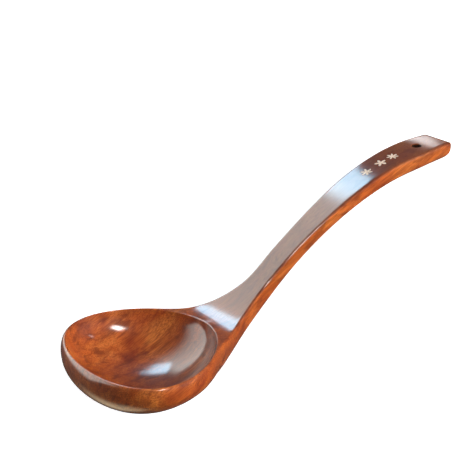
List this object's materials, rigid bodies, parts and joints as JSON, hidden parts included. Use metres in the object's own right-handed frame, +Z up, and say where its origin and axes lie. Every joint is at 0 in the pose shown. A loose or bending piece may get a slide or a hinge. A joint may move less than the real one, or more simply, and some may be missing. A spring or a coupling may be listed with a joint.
{
  "type": "wooden soup ladle",
  "caption": "Soup ladle carved from one piece of lacquered wood: egg-shaped bowl, S-curved handle with a hanging hole and inlaid rosettes.",
  "frame": {"origin": "centre of the small flat under the bowl, on which the ladle lies on a table", "axes": "+X along the table from the bowl towards the handle's end, +Z up, Y across the bowl"},
  "size_m": [0.2606, 0.0904, 0.0481],
  "materials": {
    "lacquered_wood": "clear gloss lacquer over red-brown wood",
    "pale_inlay": "matt pale filler"
  },
  "bodies": {
    "root": {"ladle_body": "lacquered_wood", "mark_inlay_1": "pale_inlay", "mark_inlay_2": "pale_inlay", "mark_inlay_3": "pale_inlay"}
  },
  "joints": []
}
